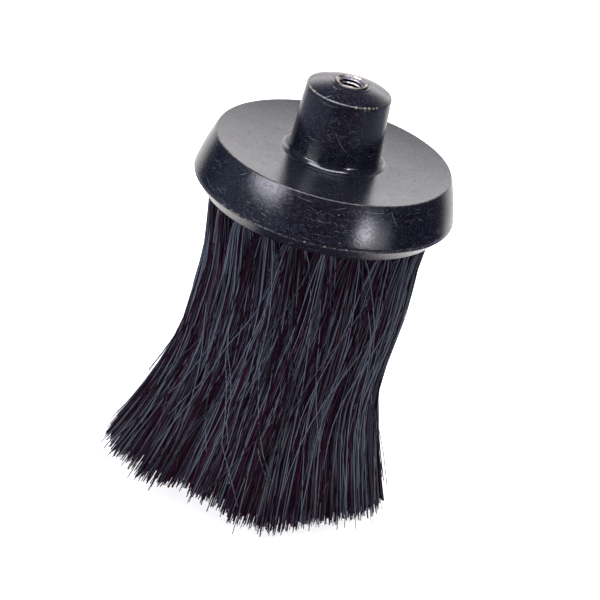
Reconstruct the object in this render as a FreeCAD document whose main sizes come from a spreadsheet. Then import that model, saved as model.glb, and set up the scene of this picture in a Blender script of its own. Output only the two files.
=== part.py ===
"""Round screw-on brush head: moulded back cover, drilled bristle board, threaded insert and tufts.

Millimetres, +Z up along the thread axis. The origin is the mouth of the thread, on its axis, and the
bristles point down to -Z.
"""
import FreeCAD, Part
import math
import os
import re
import Sketcher

DOCUMENT = FreeCAD.newDocument("BrushHead")

# alias, value, meaning
DIMENSIONS = [
    ("seam_depth", 36.2, "thread mouth down to the joint line between cover and board"),
    ("rim_radius", 40.0, "widest radius, at the joint line"),
    ("rim_land", 1.0, "straight part of the cover's wall above the joint line"),
    ("top_edge_radius", 36.2, "edge of the cover's flat top"),
    ("wall_height", 13.4, "joint line up to the flat top"),
    ("wall_curve", 70.0, "radius of the slightly crowned conical wall"),
    ("boss_base_radius", 13.7, "boss where it meets the flat top"),
    ("boss_top_radius", 12.9, "boss at the edge of its dome"),
    ("boss_top_height", 34.0, "joint line up to the edge of the dome"),
    ("dome_curve", 33.2, "spherical radius of the dome"),
    ("seat_radius", 5.2, "flat seat under the insert's lip"),
    ("boss_fillet", 2.0, "fillet between boss and flat top"),
    ("dome_edge_round", 0.5, "rounding of the dome's edge"),
    ("top_edge_round", 0.4, "rounding of the flat top's edge"),
    ("recess_radius", 36.0, "recess in the cover that takes the board"),
    ("recess_height", 5.0, "height of that recess"),
    ("glue_gap", 0.1, "glue line between board and recess"),
    ("insert_radius", 4.9, "barrel of the threaded insert"),
    ("insert_length", 15.0, "thread mouth down to the insert's lower end"),
    ("insert_groove_depth", 0.5, "retaining grooves round the insert's barrel"),
    ("insert_groove_width", 1.6, "width of a retaining groove"),
    ("insert_bore_depth", 17.0, "depth of the cover's blind bore below the thread mouth"),
    ("thread_bore_radius", 3.4, "M8 thread at its minor diameter"),
    ("lip_height", 0.6, "insert's lip above its seat"),
    ("lip_mouth_radius", 4.55, "countersunk mouth at the top of the lip"),
    ("lip_round", 0.25, "rounding of the lip's outer edge"),
    ("band_height", 3.8, "bevelled edge of the board below the joint line"),
    ("band_radius", 36.8, "board's underside"),
    ("hole_radius", 3.0, "blind hole for one tuft"),
    ("hole_depth", 7.0, "depth of that hole"),
    ("ring1_radius", 31.3, "outer ring of tufts"),
    ("ring2_radius", 23.5, "second ring"),
    ("ring3_radius", 15.7, "third ring"),
    ("ring4_radius", 7.9, "inner ring"),
    ("ring1_count", 22, "tufts in the outer ring"),
    ("ring2_count", 16, "tufts in the second ring"),
    ("ring3_count", 11, "tufts in the third ring"),
    ("ring4_count", 5, "tufts in the inner ring"),
    ("anchor_length", 6.8, "flat wire staple, biting into both sides of its hole"),
    ("anchor_height", 1.6, "staple along the hole"),
    ("anchor_thickness", 0.5, "staple across the hole"),
    ("fold_thickness", 1.0, "folded fibres between staple and hole bottom"),
    ("root_clearance", 0.05, "tuft inside its hole"),
    ("anchor_clearance", 0.02, "tuft around its staple"),
    ("bristle_length", 95.7, "free bristle below the board"),
    ("tuft_radius", 3.7, "free tuft where the spread is 1"),
    ("waist_spread", 0.943, "bundle's spread in its upper half, against the rings in the board"),
    ("tip_spread", 1.33, "bundle's spread at the tips"),
    ("flare_start", 46.5, "distance below the board where the bundle starts to flare"),
    ("flare_power", 1.6, "how late the flare comes"),
    ("tip_lean", 3.5, "sideways lean of the tips towards -X"),
]

# fractions of the free bristle length at which a tuft's outline is drawn
TUFT_STATIONS = (0.0, 0.12, 0.3, 0.5, 0.66, 0.83, 1.0)

RINGS = (1, 2, 3, 4)


def make_sheet():
    """Put the driving dimensions in a spreadsheet, one aliased cell each."""
    sheet = DOCUMENT.addObject("Spreadsheet::Sheet", "Dimensions")
    for row, (alias, value, meaning) in enumerate(DIMENSIONS, start=1):
        sheet.set(f"A{row}", alias)
        sheet.set(f"B{row}", str(value))
        sheet.set(f"C{row}", meaning)
        sheet.setAlias(f"B{row}", alias)
    DOCUMENT.recompute()
    return sheet


SHEET = make_sheet()


def formula(text):
    """Turn words such as rim_radius into references to the sheet."""
    words = "|".join(alias for alias, _, _ in DIMENSIONS)
    return re.sub(rf"\b({words})\b", r"Dimensions.\1", text)


def value_of(text):
    """Number that a formula gives now."""
    return float(SHEET.evalExpression(formula(text)))


def origin_feature(body, role):
    """One of the body's own origin planes or axes."""
    for feature in body.Origin.OriginFeatures:
        if feature.Role == role:
            return feature
    raise ValueError(role)


def new_body(label, height):
    """A body with its own Label, at a height that the sheet drives."""
    body = DOCUMENT.addObject("PartDesign::Body", label)
    body.Label = label
    body.setExpression("Placement.Base.z", formula(height))
    return body


def new_sketch(body, name, role, height=None):
    """A sketch on one of the body's origin planes, raised by a formula if one is given."""
    sketch = body.newObject("Sketcher::SketchObject", name)
    sketch.AttachmentSupport = [(origin_feature(body, role), "")]
    sketch.MapMode = "FlatFace"
    if height:
        sketch.setExpression("AttachmentOffset.Base.z", formula(height))
    return sketch


def bind(sketch, kind, first, second, text):
    """Constrain a distance between two sketch points and bind it to the sheet."""
    index = sketch.addConstraint(Sketcher.Constraint(kind, *first, *second, value_of(text)))
    sketch.setExpression(f"Constraints[{index}]", formula(text))


def bind_radius(sketch, geometry, text):
    """Constrain a radius and bind it to the sheet."""
    index = sketch.addConstraint(Sketcher.Constraint("Radius", geometry, value_of(text)))
    sketch.setExpression(f"Constraints[{index}]", formula(text))


def arc_between(start, end, radius):
    """Minor arc from start to end that bulges away from the turning axis."""
    chord = end.sub(start)
    middle = start.add(end) * 0.5
    outward = FreeCAD.Vector(chord.y, -chord.x, 0).normalize()
    if outward.x < 0:
        outward = outward * -1
    reach = radius - math.sqrt(radius ** 2 - (chord.Length / 2) ** 2)
    return Part.Arc(start, middle + outward * reach, end)


def half_section(body, name, outline):
    """Closed half-section on the XZ plane.

    Each corner is (radius, height) or (radius, height, curve): formulas, where curve is the radius of
    an arc to the next corner.
    """
    sketch = new_sketch(body, name, "XZ_Plane")
    corners = [FreeCAD.Vector(value_of(corner[0]), value_of(corner[1]), 0) for corner in outline]
    edges = []
    for index, corner in enumerate(outline):
        start = corners[index]
        end = corners[(index + 1) % len(corners)]
        if len(corner) == 3:
            edges.append(arc_between(start, end, value_of(corner[2])))
        else:
            edges.append(Part.LineSegment(start, end))
    geometry = [sketch.addGeometry(edge, False) for edge in edges]

    # an arc that was drawn through three points may run either way round, so its ends are looked up
    def ends(index):
        drawn = sketch.Geometry[index]
        start_first = drawn.StartPoint.distanceToPoint(corners[index]) < 1e-6
        return (1, 2) if start_first else (2, 1)

    for index in geometry:
        following = geometry[(index + 1) % len(geometry)]
        joint = Sketcher.Constraint("Coincident", index, ends(index)[1], following, ends(following)[0])
        sketch.addConstraint(joint)
    for index, corner in enumerate(outline):
        point = (index, ends(index)[0])
        if corner[0] == "0":
            sketch.addConstraint(Sketcher.Constraint("PointOnObject", *point, -2))
        else:
            bind(sketch, "DistanceX", (-1, 1), point, corner[0])
        if corner[1] == "0":
            sketch.addConstraint(Sketcher.Constraint("PointOnObject", *point, -1))
        else:
            bind(sketch, "DistanceY", (-1, 1), point, corner[1])
        if len(corner) == 3:
            bind_radius(sketch, index, corner[2])
    return sketch


def revolve(body, name, outline):
    """Turn a half-section once round Z."""
    sketch = half_section(body, f"{name}_section", outline)
    turned = body.newObject("PartDesign::Revolution", name)
    turned.Profile = sketch
    turned.ReferenceAxis = (sketch, ["V_Axis"])
    turned.Angle = 360
    DOCUMENT.recompute()
    return turned


def round_edge(body, name, base, radius, height, size):
    """Fillet the circular edge of a turned solid at a given radius and height."""
    wanted_radius = value_of(radius)
    wanted_height = value_of(height)
    names = []
    for index, edge in enumerate(base.Shape.Edges, start=1):
        is_circle = isinstance(edge.Curve, Part.Circle)
        if not is_circle:
            continue
        if abs(edge.Curve.Radius - wanted_radius) < 1e-3 and abs(edge.Curve.Center.z - wanted_height) < 1e-3:
            names.append(f"Edge{index}")
    if not names:
        raise ValueError(f"{name}: no edge")
    fillet = body.newObject("PartDesign::Fillet", name)
    fillet.Base = (base, names)
    fillet.setExpression("Radius", formula(size))
    DOCUMENT.recompute()
    return fillet


def make_back_cover():
    """Moulded cap: conical wall, flat top, tapered boss with a dome, blind bore and board recess."""
    body = new_body("back_cover", "-seam_depth")
    turned = revolve(body, "cover_turned", [
        ("0", "recess_height"),
        ("recess_radius", "recess_height"),
        ("recess_radius", "0"),
        ("rim_radius", "0"),
        ("rim_radius", "rim_land", "wall_curve"),
        ("top_edge_radius", "wall_height"),
        ("boss_base_radius", "wall_height"),
        ("boss_top_radius", "boss_top_height", "dome_curve"),
        ("seat_radius", "seam_depth"),
        ("insert_radius", "seam_depth"),
        ("insert_radius", "seam_depth - insert_bore_depth"),
        ("0", "seam_depth - insert_bore_depth"),
    ])
    rounded = round_edge(body, "boss_root", turned, "boss_base_radius", "wall_height", "boss_fillet")
    rounded = round_edge(body, "dome_edge", rounded, "boss_top_radius", "boss_top_height", "dome_edge_round")
    round_edge(body, "top_edge", rounded, "top_edge_radius", "wall_height", "top_edge_round")
    return body


def make_threaded_insert():
    """Steel bush with a lip, two retaining grooves and an M8 bore drawn at its minor diameter."""
    body = new_body("threaded_insert", "-insert_length")
    groove_floor = "insert_radius - insert_groove_depth"
    lower = "insert_length / 4"
    upper = "insert_length * 0.6"
    turned = revolve(body, "insert_turned", [
        ("thread_bore_radius", "0"),
        ("insert_radius", "0"),
        ("insert_radius", lower),
        (groove_floor, lower),
        (groove_floor, f"{lower} + insert_groove_width"),
        ("insert_radius", f"{lower} + insert_groove_width"),
        ("insert_radius", upper),
        (groove_floor, upper),
        (groove_floor, f"{upper} + insert_groove_width"),
        ("insert_radius", f"{upper} + insert_groove_width"),
        ("insert_radius", "insert_length"),
        ("seat_radius", "insert_length"),
        ("seat_radius", "insert_length + lip_height"),
        ("lip_mouth_radius", "insert_length + lip_height"),
        ("thread_bore_radius", "insert_length"),
    ])
    round_edge(body, "lip_edge", turned, "seat_radius", "insert_length + lip_height", "lip_round")
    return body


def pocket(body, name, sketch, depth):
    """Cut upwards from a sketch that lies on the board's underside or above it."""
    cut = body.newObject("PartDesign::Pocket", name)
    cut.Profile = sketch
    cut.Reversed = True
    cut.setExpression("Length", formula(depth))
    return cut


def hole_sketch(body, name, ring_radius):
    """Circle of one tuft hole on the underside."""
    sketch = new_sketch(body, name, "XY_Plane")
    centre = FreeCAD.Vector(value_of(ring_radius), 0, 0)
    circle = Part.Circle(centre, FreeCAD.Vector(0, 0, 1), value_of("hole_radius"))
    index = sketch.addGeometry(circle, False)
    bind_radius(sketch, index, "hole_radius")
    sketch.addConstraint(Sketcher.Constraint("PointOnObject", index, 3, -1))
    if ring_radius == "0":
        sketch.addConstraint(Sketcher.Constraint("PointOnObject", index, 3, -2))
    else:
        bind(sketch, "DistanceX", (-1, 1), (index, 3), ring_radius)
    return sketch


def bite_sketch(body, name, ring_radius):
    """Rectangle that one staple presses into the wall of its hole, long side across the ring."""
    sketch = new_sketch(body, name, "XY_Plane", "hole_depth - fold_thickness - anchor_height")
    left = f"{ring_radius} - anchor_thickness / 2"
    right = f"{ring_radius} + anchor_thickness / 2"
    half = "anchor_length / 2"
    corners = [(left, -1), (right, -1), (right, 1), (left, 1)]
    points = [FreeCAD.Vector(value_of(x), side * value_of(half), 0) for x, side in corners]
    for index, point in enumerate(points):
        sketch.addGeometry(Part.LineSegment(point, points[(index + 1) % 4]), False)
    for index in range(4):
        sketch.addConstraint(Sketcher.Constraint("Coincident", index, 2, (index + 1) % 4, 1))
    for index, direction in ((0, "Horizontal"), (2, "Horizontal"), (3, "Vertical")):
        sketch.addConstraint(Sketcher.Constraint(direction, index))
    sketch.addConstraint(Sketcher.Constraint("Symmetric", 1, 1, 1, 2, -1))
    bind(sketch, "DistanceY", (1, 1), (1, 2), "anchor_length")
    bind(sketch, "DistanceX", (0, 1), (0, 2), "anchor_thickness")
    if ring_radius == "0":
        bind(sketch, "DistanceX", (-1, 1), (0, 2), "anchor_thickness / 2")
    else:
        bind(sketch, "DistanceX", (-1, 1), (0, 1), left)
    return sketch


def make_bristle_board():
    """Stepped disc with a bevelled edge and rings of blind holes, each with its staple's bites."""
    body = new_body("bristle_board", "-seam_depth - band_height")
    plug_radius = "recess_radius - glue_gap"
    plug_top = "band_height + recess_height - glue_gap"
    revolve(body, "board_turned", [
        ("0", "0"),
        ("band_radius", "0"),
        ("rim_radius", "band_height"),
        (plug_radius, "band_height"),
        (plug_radius, plug_top),
        ("0", plug_top),
    ])
    for ring in (0,) + RINGS:
        ring_radius = f"ring{ring}_radius" if ring else "0"
        circle = hole_sketch(body, f"hole_circle{ring}", ring_radius)
        hole = pocket(body, f"hole_ring{ring}", circle, "hole_depth")
        rectangle = bite_sketch(body, f"bite_outline{ring}", ring_radius)
        bite = pocket(body, f"bite_ring{ring}", rectangle, "anchor_height")
        DOCUMENT.recompute()
        if not ring:
            continue
        pattern = body.newObject("PartDesign::PolarPattern", f"ring{ring}_pattern")
        pattern.Originals = [hole, bite]
        pattern.Axis = (origin_feature(body, "Z_Axis"), [""])
        pattern.Angle = 360
        pattern.setExpression("Occurrences", formula(f"ring{ring}_count"))
        body.Tip = pattern
        DOCUMENT.recompute()
    return body


def tuft_places():
    """Name, ring radius formula and angle of every tuft, outer ring first, centre last."""
    places = []
    for ring in RINGS:
        count = int(value_of(f"ring{ring}_count"))
        for number in range(count):
            name = f"tuft_ring{ring}_{number + 1:02d}"
            places.append((name, f"ring{ring}_radius", 360.0 * number / count))
    places.append(("tuft_centre", "0", 0.0))
    return places


def spread_at(station):
    """Formula for how far the bundle has spread at a fraction of the free length."""
    if station == 0:
        return "1"
    below = f"max(0; {station} * bristle_length - flare_start) / (bristle_length - flare_start)"
    return f"(waist_spread + (tip_spread - waist_spread) * pow({below}; flare_power))"


def lean_at(station):
    """Formula for the sideways lean at a fraction of the free length."""
    below = f"max(0; {station} * bristle_length - flare_start) / (bristle_length - flare_start)"
    return f"tip_lean * {below}"


def upright_box(name, ring_radius, angle, length, thickness, height, bottom):
    """Box centred on a tuft's place, with its length across the ring."""
    box = DOCUMENT.addObject("Part::Box", name)
    box.setExpression("Length", formula(thickness))
    box.setExpression("Width", formula(length))
    box.setExpression("Height", formula(height))
    box.Placement.Rotation = FreeCAD.Rotation(FreeCAD.Vector(0, 0, 1), angle)
    along = f"(({ring_radius}) - ({thickness}) / 2)"
    across = f"(({length}) / 2)"
    box.setExpression("Placement.Base.x", formula(f"{along} * cos({angle}) + {across} * sin({angle})"))
    box.setExpression("Placement.Base.y", formula(f"{along} * sin({angle}) - {across} * cos({angle})"))
    box.setExpression("Placement.Base.z", formula(bottom))
    return box


ANCHOR_BOTTOM = "-seam_depth - band_height + hole_depth - fold_thickness - anchor_height"


def make_tuft(name, ring_radius, angle):
    """One tuft: a root folded round its staple in the hole, and a free part that waists and flares."""
    sections = []
    for number, station in enumerate(TUFT_STATIONS):
        circle = DOCUMENT.addObject("Part::Circle", f"{name}_section{number}")
        spread = spread_at(station)
        radius = "hole_radius - root_clearance" if station == 0 else f"tuft_radius * {spread}"
        reach = f"{ring_radius} * {spread}"
        circle.setExpression("Radius", formula(radius))
        circle.setExpression("Placement.Base.x", formula(f"{reach} * cos({angle}) - {lean_at(station)}"))
        circle.setExpression("Placement.Base.y", formula(f"{reach} * sin({angle})"))
        depth = f"-seam_depth - band_height - {station} * bristle_length"
        circle.setExpression("Placement.Base.z", formula(depth))
        sections.append(circle)
    free = DOCUMENT.addObject("Part::Loft", f"{name}_free")
    free.Sections = sections
    free.Solid = True
    free.Ruled = True

    root = DOCUMENT.addObject("Part::Cylinder", f"{name}_root")
    root.setExpression("Radius", formula("hole_radius - root_clearance"))
    root.setExpression("Height", formula("hole_depth - root_clearance"))
    root.setExpression("Placement.Base.x", formula(f"{ring_radius} * cos({angle})"))
    root.setExpression("Placement.Base.y", formula(f"{ring_radius} * sin({angle})"))
    root.setExpression("Placement.Base.z", formula("-seam_depth - band_height"))

    whole = DOCUMENT.addObject("Part::Fuse", f"{name}_whole")
    whole.Base = root
    whole.Tool = free

    slot = upright_box(
        f"{name}_slot",
        ring_radius,
        angle,
        "anchor_length",
        "anchor_thickness + 2 * anchor_clearance",
        "anchor_height + 2 * anchor_clearance",
        f"{ANCHOR_BOTTOM} - anchor_clearance",
    )
    tuft = DOCUMENT.addObject("Part::Cut", name)
    tuft.Base = whole
    tuft.Tool = slot
    tuft.Label = name
    return tuft


def make_anchors(places):
    """All the flat wire staples, as separate solids of one node."""
    staples = []
    for name, ring_radius, angle in places:
        staples.append(upright_box(
            f"{name}_anchor",
            ring_radius,
            angle,
            "anchor_length",
            "anchor_thickness",
            "anchor_height",
            ANCHOR_BOTTOM,
        ))
    anchors = DOCUMENT.addObject("Part::Compound", "tuft_anchors")
    anchors.Links = staples
    anchors.Label = "tuft_anchors"
    return anchors


def check(pieces):
    """Stop if any object failed or any sub-part has no valid solid."""
    for item in DOCUMENT.Objects:
        if "Invalid" in item.State or "Error" in item.State:
            raise RuntimeError(f"{item.Name}: {item.State}")
    for piece in pieces:
        if piece.Shape.isNull() or not piece.Shape.isValid() or not piece.Shape.Solids:
            raise RuntimeError(f"{piece.Label}: no valid solid")


def main():
    """Build every sub-part and write one STEP file each."""
    places = tuft_places()
    pieces = [make_back_cover(), make_threaded_insert(), make_bristle_board(), make_anchors(places)]
    pieces += [make_tuft(*spot) for spot in places]
    DOCUMENT.recompute()
    check(pieces)

    os.makedirs("parts", exist_ok=True)
    for piece in pieces:
        piece.Shape.exportStep(f"parts/{piece.Label}.step")
        print(f"{piece.Label}: {len(piece.Shape.Solids)} solids, {piece.Shape.Volume:.0f} mm3")


main()
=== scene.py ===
"""Round screw-on brush head: glossy black moulded back, threaded steel insert and a flared bundle of bristle.

Shapes are worked out in millimetres and stored in metres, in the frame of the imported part: the origin is the
mouth of the thread, +Z runs up out of it, and the bristles point down.
"""
import math

import bpy
import numpy as np
from mathutils import Matrix, Vector


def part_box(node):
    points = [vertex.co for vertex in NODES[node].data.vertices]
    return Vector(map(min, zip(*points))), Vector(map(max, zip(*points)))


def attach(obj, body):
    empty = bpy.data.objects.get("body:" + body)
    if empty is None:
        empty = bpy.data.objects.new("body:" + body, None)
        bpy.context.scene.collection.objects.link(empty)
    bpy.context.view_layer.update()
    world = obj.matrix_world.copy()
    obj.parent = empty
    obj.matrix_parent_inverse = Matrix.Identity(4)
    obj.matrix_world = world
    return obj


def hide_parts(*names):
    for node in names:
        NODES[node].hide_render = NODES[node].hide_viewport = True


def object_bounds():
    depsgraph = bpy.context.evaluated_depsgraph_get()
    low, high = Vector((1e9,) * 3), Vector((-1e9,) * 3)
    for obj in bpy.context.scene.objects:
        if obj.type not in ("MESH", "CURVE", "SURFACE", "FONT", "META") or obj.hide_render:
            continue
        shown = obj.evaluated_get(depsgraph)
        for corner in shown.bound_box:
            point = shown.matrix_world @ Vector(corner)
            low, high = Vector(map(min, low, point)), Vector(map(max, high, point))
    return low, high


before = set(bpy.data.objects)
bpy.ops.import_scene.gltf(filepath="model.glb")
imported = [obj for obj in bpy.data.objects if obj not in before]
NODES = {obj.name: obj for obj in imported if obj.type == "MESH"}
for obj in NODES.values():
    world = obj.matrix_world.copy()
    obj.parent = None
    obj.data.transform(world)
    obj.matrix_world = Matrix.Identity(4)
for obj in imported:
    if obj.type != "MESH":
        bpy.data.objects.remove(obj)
CAD_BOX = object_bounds()

MM = 0.001
TURN = 2 * math.pi


# ---------------------------------------------------------------- numbers

def box_mm(node):
    """Lowest and highest corner of a CAD node, in millimetres."""
    low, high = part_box(node)
    return np.array(low) / MM, np.array(high) / MM


COVER_LOW, COVER_HIGH = box_mm("back_cover")
INSERT_LOW, INSERT_HIGH = box_mm("threaded_insert")

# heights and radii read from the frame, in millimetres
SEAM = COVER_LOW[2]                    # joint between cover and board
RIM = COVER_HIGH[0]                    # widest radius of the cover
UNDERSIDE = box_mm("bristle_board")[0][2]
TIPS = box_mm("tuft_centre")[0][2]     # lowest bristle tip

# back cover
RECESS_RADIUS = 36.0                   # recess for the board
RECESS_DEPTH = 5.0
LAND = 1.0                             # upright band above the joint
WALL_CURVE = 70.0                      # radius of the bulging wall's section
TOP = SEAM + 13.4                      # the CAD's flat top
TOP_EDGE = 36.2                        # radius where the wall meets the top
EDGE_HEIGHT = TOP + 0.20               # the top is slightly dished: its edge, and its foot at the boss
FOOT_HEIGHT = TOP - 0.80
DISH = 1.8                             # power of the dish's curve
EDGE_FILLET = 0.45
BOSS_BASE = 14.0                       # radii of the tapered boss
BOSS_EDGE = 12.9
BOSS_HEIGHT = SEAM + 34.0              # foot of the dome
FOOT_FILLET = 2.4
DOME_CURVE = 33.2                      # radius of the dome's section
DOME_FILLET = 0.5
BORE_END = -17.0                       # bottom of the blind bore for the insert

# threaded insert
MINOR = 3.4                            # M8 thread: minor radius, depth and pitch
THREAD_DEPTH = 0.72
PITCH = 1.25
THREAD_STEP = 0.078                    # spacing of the rings of points that carry the thread
THREAD_TOP = -0.25                     # where the countersink starts
MOUTH = 4.25                           # outer radius of the countersink
BARREL = 4.9                           # outer radii of the barrel and of the lip's seat
SEAT = 5.2

# bundle of bristles
FREE = UNDERSIDE - TIPS                # free length
HOLE = 2.75                            # radius of a tuft in its hole, and below the board, where it opens
TUFT_RADIUS = 3.6
BUNDLE_RADIUS = 34.15                  # at the board
WAIST = 0.950                          # spread of the bundle at its waist and at the tips, against the board
FLARE = 1.33
FLARE_START = 46.5                     # length above the flare, and power of the flare's curve
FLARE_POWER = 1.6
LEAN = 3.5                             # how far the flared tips lean to the left


def smooth(x):
    """Smooth step from 0 to 1."""
    x = np.clip(x, 0, 1)
    return x * x * (3 - 2 * x)


def ripple(rng, angle, low, high, count):
    """Random waves round a circle, between two numbers of periods, with a variance of about 1."""
    total = np.zeros_like(angle)
    for _ in range(count):
        periods = rng.integers(low, high + 1)
        total = total + np.sin(periods * angle + rng.uniform(0, TURN))
    return total * math.sqrt(2 / count)


def ripple_2d(rng, angle, along, low, high, length, count):
    """Random waves over a turned surface: periods round it, and a wavelength along it."""
    total = np.zeros_like(angle)
    for _ in range(count):
        periods = rng.integers(low, high + 1)
        pitch = TURN / (length * rng.uniform(0.6, 1.8)) * rng.choice((-1, 1))
        total = total + np.sin(periods * angle + pitch * along + rng.uniform(0, TURN))
    return total * math.sqrt(2 / count)


# ---------------------------------------------------------------- meshes

def mesh_object(name, points, faces, materials, indices=None):
    """Object from points in millimetres; indices give each face's material."""
    mesh = bpy.data.meshes.new(name)
    mesh.from_pydata((np.asarray(points, float) * MM).tolist(), [], faces)
    for material in materials:
        mesh.materials.append(material)
    mesh.polygons.foreach_set("use_smooth", np.ones(len(faces), bool))
    if indices is not None:
        mesh.polygons.foreach_set("material_index", indices)
    mesh.update()
    piece = bpy.data.objects.new(name, mesh)
    bpy.context.scene.collection.objects.link(piece)
    return piece


def line(start, end, spacing):
    """Points of a straight run, at about that spacing."""
    start, end = np.array(start, float), np.array(end, float)
    steps = max(1, round(np.linalg.norm(end - start) / spacing))
    share = np.linspace(0, 1, steps + 1)[:, None]
    return start + (end - start) * share


def crowned(start, end, curve, spacing):
    """Points of an arc with that radius, bulging away from the axis."""
    start, end = np.array(start, float), np.array(end, float)
    chord = end - start
    length = np.linalg.norm(chord)
    outward = np.array([chord[1], -chord[0]]) / length
    if outward[0] < 0:
        outward = -outward
    middle = (start + end) / 2
    centre = middle - outward * math.sqrt(curve ** 2 - (length / 2) ** 2)
    straight = line(start, end, spacing) - centre
    return centre + straight * (curve / np.linalg.norm(straight, axis=1))[:, None]


def rounded(first, second, radius, steps):
    """Join two runs of points with a fillet of that radius in place of their shared corner."""
    corner = first[-1]
    back = first[-2] - corner
    ahead = second[1] - corner
    back, ahead = back / np.linalg.norm(back), ahead / np.linalg.norm(ahead)
    half = math.acos(np.clip(back @ ahead, -1, 1)) / 2
    cut = radius / math.tan(half)
    bisector = (back + ahead) / np.linalg.norm(back + ahead)
    centre = corner + bisector * (radius / math.sin(half))
    start, end = corner + back * cut - centre, corner + ahead * cut - centre
    sweep = math.atan2(start[0] * end[1] - start[1] * end[0], start @ end)
    angles = np.linspace(0, sweep, steps + 1)
    turned_x = start[0] * np.cos(angles) - start[1] * np.sin(angles)
    turned_y = start[0] * np.sin(angles) + start[1] * np.cos(angles)
    arc = centre + np.stack([turned_x, turned_y], axis=1)
    kept_first = first[np.linalg.norm(first - corner, axis=1) > cut + 0.02]
    kept_second = second[np.linalg.norm(second - corner, axis=1) > cut + 0.02]
    return np.concatenate([kept_first, arc, kept_second])


def chained(*runs):
    """Join runs whose ends meet, keeping each shared corner once."""
    return np.concatenate([runs[0]] + [run[1:] for run in runs[1:]])


def turned(name, outline, segments, materials, carve, closed=False):
    """Turn an outline of (radius, height) points round Z.

    carve(radius, angle, height) returns the worn radius and height and how worn each point is. An open
    outline starts and ends on the axis.
    """
    angle = np.arange(segments) * (TURN / segments)
    rings = outline if closed else outline[1:-1]
    radius = np.repeat(rings[:, :1], segments, axis=1)
    height = np.repeat(rings[:, 1:], segments, axis=1)
    around = np.repeat(angle[None, :], len(rings), axis=0)
    radius, height, wear = carve(radius, around, height)
    points = np.stack([radius * np.cos(around), radius * np.sin(around), height], axis=2).reshape(-1, 3)
    wear = wear.reshape(-1)

    count = len(rings)
    here = np.arange(count * segments).reshape(count, segments)
    ahead = np.roll(here, -1, axis=1)
    rows = np.arange(count if closed else count - 1)
    nexts = (rows + 1) % count
    faces = np.stack([here[rows], ahead[rows], ahead[nexts], here[nexts]], axis=2).reshape(-1, 4).tolist()
    if not closed:
        poles = np.array([[0, 0, outline[0][1]], [0, 0, outline[-1][1]]])
        points = np.concatenate([points, poles])
        wear = np.append(wear, [0, 0])
        first, last = count * segments, count * segments + 1
        faces += [(first, int(ahead[0][i]), int(here[0][i])) for i in range(segments)]
        faces += [(last, int(here[-1][i]), int(ahead[-1][i])) for i in range(segments)]
    piece = mesh_object(name, points, faces, materials)
    layer = piece.data.attributes.new("wear", "FLOAT", "POINT")
    layer.data.foreach_set("value", wear.astype(np.float32))
    return piece


# ---------------------------------------------------------------- materials

def node(tree, kind, inputs=None, **settings):
    """Add a shader node; inputs are constants or the outputs of other nodes."""
    made = tree.nodes.new(kind)
    for key, value in settings.items():
        setattr(made, key, value)
    for key, value in (inputs or {}).items():
        if isinstance(value, bpy.types.NodeSocket):
            tree.links.new(value, made.inputs[key])
        else:
            made.inputs[key].default_value = value
    return made


def maths(tree, operation, first, second=0.0, third=0.0, clamp=False):
    """Output of a Math node."""
    inputs = {0: first, 1: second, 2: third}
    return node(tree, "ShaderNodeMath", inputs, operation=operation, use_clamp=clamp).outputs[0]


def ramp(tree, value, low, high, to_low=0.0, to_high=1.0):
    """Smooth map of a value from one range to another."""
    inputs = {"Value": value, "From Min": low, "From Max": high, "To Min": to_low, "To Max": to_high}
    return node(tree, "ShaderNodeMapRange", inputs, interpolation_type="SMOOTHSTEP").outputs["Result"]


def noise(tree, place, scale, detail=2.0, rough=0.5):
    """Noise with that many features per millimetre."""
    inputs = {"Vector": place, "Scale": scale, "Detail": detail, "Roughness": rough}
    return node(tree, "ShaderNodeTexNoise", inputs).outputs[0]


def blend(tree, share, first, second):
    """Mix of two colours."""
    mixer = node(tree, "ShaderNodeMix", data_type="RGBA")
    for index, value in ((0, share), (6, first), (7, second)):
        if isinstance(value, bpy.types.NodeSocket):
            tree.links.new(value, mixer.inputs[index])
        else:
            mixer.inputs[index].default_value = value if index == 0 else (*value, 1)
    return mixer.outputs[2]


def new_material(name):
    """Material with a Principled shader, and its tree and shader."""
    material = bpy.data.materials.new(name)
    material.use_nodes = True
    tree = material.node_tree
    tree.nodes.clear()
    shader = tree.nodes.new("ShaderNodeBsdfPrincipled")
    out = tree.nodes.new("ShaderNodeOutputMaterial")
    tree.links.new(shader.outputs[0], out.inputs[0])
    return material, tree, shader


def times(tree, vector, factors):
    """Product of two vectors, part by part."""
    return node(tree, "ShaderNodeVectorMath", {0: vector, 1: factors}, operation="MULTIPLY").outputs[0]


def split(tree, vector):
    """X, Y and Z outputs of a vector."""
    return node(tree, "ShaderNodeSeparateXYZ", {0: vector}).outputs


def channels(tree, colour):
    """Red, green and blue outputs of a colour."""
    return node(tree, "ShaderNodeSeparateColor", {0: colour}).outputs


def from_axis(tree, vector):
    """Distance of a vector's end from the Z axis."""
    flat = times(tree, vector, (1, 1, 0))
    return node(tree, "ShaderNodeVectorMath", {0: flat}, operation="LENGTH").outputs["Value"]


def bump(tree, height, distance, strength=1.0, normal=None, invert=False):
    """Bumped normal; the distance is in metres."""
    inputs = {"Height": height, "Strength": strength, "Distance": distance}
    if normal is not None:
        inputs["Normal"] = normal
    return node(tree, "ShaderNodeBump", inputs, invert=invert).outputs[0]


def millimetres(tree):
    """Place on the object, in millimetres."""
    place = tree.nodes.new("ShaderNodeTexCoord").outputs["Object"]
    return times(tree, place, (1 / MM, 1 / MM, 1 / MM))


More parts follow.
